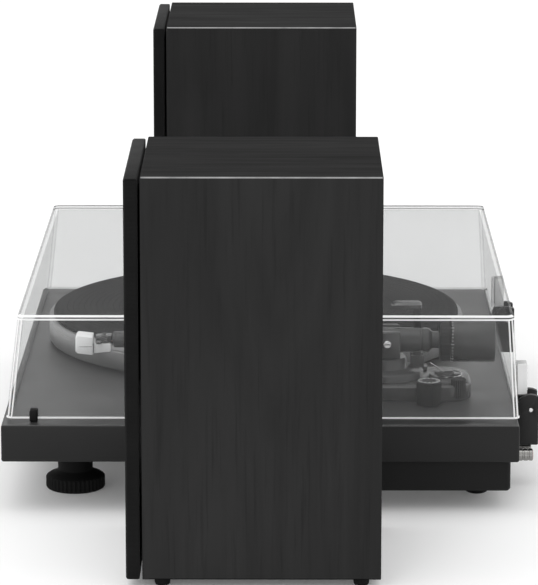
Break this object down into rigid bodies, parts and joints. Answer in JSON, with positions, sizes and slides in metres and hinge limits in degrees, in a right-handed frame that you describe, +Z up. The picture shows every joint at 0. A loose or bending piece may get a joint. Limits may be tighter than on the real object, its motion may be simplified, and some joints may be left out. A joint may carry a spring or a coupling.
{
  "type": "mini hifi system",
  "caption": "Belt-drive record player under a hinged clear lid, between bookshelf loudspeakers in black wood-grain cabinets.",
  "frame": {"origin": "middle of the bounding box, on the surface the feet stand on", "axes": "+Z up, -Y the front, +X the tonearm side, which is also the side with the right loudspeaker"},
  "size_m": [0.794, 0.3598, 0.2583],
  "materials": {
    "deck_black": "matt black film over a fibreboard slab",
    "plastic_black": "moulded black plastic",
    "rubber_black": "soft black rubber",
    "steel_bright": "bright turned steel",
    "platter_aluminium": "cast aluminium with a turned rim",
    "mat_rubber": "ribbed rubber mat",
    "basket_steel": "pressed steel, grey",
    "nickel": "nickel plated",
    "belt_rubber": "flat rubber belt",
    "board_green": "circuit board with parts",
    "arm_black": "satin black",
    "cartridge_white": "white moulded plastic",
    "weight_black": "satin black coated metal",
    "dial_grey": "dark dial with a pale scale ring",
    "acrylic_clear": "clear acrylic, polished edges",
    "vinyl_black": "black wood-grain vinyl over fibreboard",
    "cloth_black": "black speaker cloth on a frame",
    "cone_paper": "black paper cone"
  },
  "bodies": {
    "base": {"plinth": "deck_black", "base_tray": "plastic_black", "bearing_housing": "steel_bright", "motor": "basket_steel", "drive_belt": "belt_rubber", "circuit_board": "board_green", "line_jack_1": "nickel", "line_jack_2": "nickel", "tonearm_base": "arm_black", "arm_rest": "plastic_black", "rear_foot_left": "rubber_black", "rear_foot_right": "rubber_black", "hinge_base_left": "plastic_black", "hinge_base_right": "plastic_black", "hinge_pin_left": "steel_bright", "hinge_pin_right": "steel_bright", "speaker_left_cabinet": "vinyl_black", "speaker_left_baffle": "plastic_black", "speaker_left_woofer_frame": "basket_steel", "speaker_left_tweeter": "cone_paper", "speaker_left_terminal_plate": "plastic_black", "speaker_left_foot_front_in": "rubber_black", "speaker_left_foot_front_out": "rubber_black", "speaker_left_foot_rear_in": "rubber_black", "speaker_left_foot_rear_out": "rubber_black", "speaker_right_cabinet": "vinyl_black", "speaker_right_baffle": "plastic_black", "speaker_right_woofer_frame": "basket_steel", "speaker_right_tweeter": "cone_paper", "speaker_right_terminal_plate": "plastic_black", "speaker_right_foot_front_in": "rubber_black", "speaker_right_foot_front_out": "rubber_black", "speaker_right_foot_rear_in": "rubber_black", "speaker_right_foot_rear_out": "rubber_black"},
    "front_foot_left_body": {"front_foot_left": "rubber_black"},
    "front_foot_right_body": {"front_foot_right": "rubber_black"},
    "platter_body": {"platter": "platter_aluminium", "platter_mat": "mat_rubber", "spindle": "steel_bright"},
    "pulley_body": {"motor_pulley": "nickel"},
    "lid_body": {"dust_cover": "acrylic_clear", "lid_bumper": "rubber_black"},
    "yoke_body": {"tonearm_yoke": "arm_black"},
    "arm_body": {"tonearm_tube": "arm_black", "headshell": "arm_black", "cartridge": "cartridge_white"},
    "counterweight_body": {"counterweight": "weight_black"},
    "force_ring_body": {"tracking_force_ring": "plastic_black"},
    "volume_body": {"volume_knob": "plastic_black"},
    "speed_body": {"speed_selector": "plastic_black"},
    "power_body": {"power_switch": "plastic_black"},
    "cue_lever_body": {"cue_lever": "plastic_black"},
    "cue_lift_body": {"cue_lift": "steel_bright"},
    "arm_clip_body": {"arm_clip": "plastic_black"},
    "anti_skate_body": {"anti_skate_dial": "dial_grey"},
    "woofer_left_body": {"speaker_left_woofer_cone": "cone_paper"},
    "grille_left_body": {"speaker_left_grille": "cloth_black"},
    "woofer_right_body": {"speaker_right_woofer_cone": "cone_paper"},
    "grille_right_body": {"speaker_right_grille": "cloth_black"}
  },
  "joints": [
    {"name": "lid_hinge", "type": "hinge", "parent": "base", "child": "lid_body", "pos_m": [0, 0.17455, 0.0534], "axis": [-1, 0, 0], "range_deg": [0, 65]},
    {"name": "platter_spin", "type": "hinge", "parent": "base", "child": "platter_body", "pos_m": [-0.048, -0.01345, 0.063], "axis": [0, 0, -1], "continuous": true},
    {"name": "pulley_spin", "type": "hinge", "parent": "base", "child": "pulley_body", "pos_m": [-0.13285, 0.0714, 0.063], "axis": [0, 0, -1], "continuous": true},
    {"name": "tonearm_swing", "type": "hinge", "parent": "base", "child": "yoke_body", "pos_m": [0.116, 0.07755, 0.083], "axis": [0, 0, -1], "range_deg": [0, 44]},
    {"name": "tonearm_lift", "type": "hinge", "parent": "yoke_body", "child": "arm_body", "pos_m": [0.116, 0.07755, 0.0943], "axis": [-1, 0, 0], "range_deg": [0, 3]},
    {"name": "counterweight_turn", "type": "hinge", "parent": "arm_body", "child": "counterweight_body", "pos_m": [0.116, 0.07755, 0.0943], "axis": [0, 1, 0], "range_deg": [-180, 180]},
    {"name": "force_ring_turn", "type": "hinge", "parent": "arm_body", "child": "force_ring_body", "pos_m": [0.116, 0.07755, 0.0943], "axis": [0, 1, 0], "range_deg": [-180, 180]},
    {"name": "volume_turn", "type": "hinge", "parent": "base", "child": "volume_body", "pos_m": [0.168, -0.07045, 0.059], "axis": [0, 0, -1], "range_deg": [0, 300]},
    {"name": "speed_turn", "type": "hinge", "parent": "base", "child": "speed_body", "pos_m": [0.168, -0.02045, 0.059], "axis": [0, 0, -1], "range_deg": [0, 60]},
    {"name": "power_press", "type": "slide", "parent": "base", "child": "power_body", "axis": [0, -1, 0], "range_m": [0, 0.002]},
    {"name": "cue_lever_turn", "type": "hinge", "parent": "base", "child": "cue_lever_body", "pos_m": [0.097, 0.09905, 0.076], "axis": [-1, 0, 0], "range_deg": [0, 35]},
    {"name": "cue_lift_rise", "type": "slide", "parent": "base", "child": "cue_lift_body", "axis": [0, 0, 1], "range_m": [0, 0.005]},
    {"name": "arm_clip_turn", "type": "hinge", "parent": "base", "child": "arm_clip_body", "pos_m": [0.1264, -0.01045, 0.0924], "axis": [0, 1, 0], "range_deg": [0, 100]},
    {"name": "anti_skate_turn", "type": "hinge", "parent": "base", "child": "anti_skate_body", "pos_m": [0.16, 0.10505, 0.059], "axis": [0, 0, -1], "range_deg": [0, 270]},
    {"name": "front_foot_left_turn", "type": "hinge", "parent": "base", "child": "front_foot_left_body", "pos_m": [-0.155, -0.13445, 0.013], "axis": [0, 0, 1], "range_deg": [-180, 180]},
    {"name": "front_foot_right_turn", "type": "hinge", "parent": "base", "child": "front_foot_right_body", "pos_m": [0.155, -0.13445, 0.013], "axis": [0, 0, 1], "range_deg": [-180, 180]},
    {"name": "woofer_left_travel", "type": "slide", "parent": "base", "child": "woofer_left_body", "axis": [0, -1, 0], "range_m": [-0.0015, 0.0015], "stiffness_N_per_m": 900},
    {"name": "grille_left_pull", "type": "slide", "parent": "base", "child": "grille_left_body", "axis": [0, -1, 0], "range_m": [0, 0.012]},
    {"name": "woofer_right_travel", "type": "slide", "parent": "base", "child": "woofer_right_body", "axis": [0, -1, 0], "range_m": [-0.0015, 0.0015], "stiffness_N_per_m": 900},
    {"name": "grille_right_pull", "type": "slide", "parent": "base", "child": "grille_right_body", "axis": [0, -1, 0], "range_m": [0, 0.012]}
  ],
  "couplings": [
    {"joint": "pulley_spin", "follows": "platter_spin", "ratio": 14.286},
    {"joint": "cue_lever_turn", "follows": "cue_lift_rise", "rad_per_m": 122.17}
  ]
}
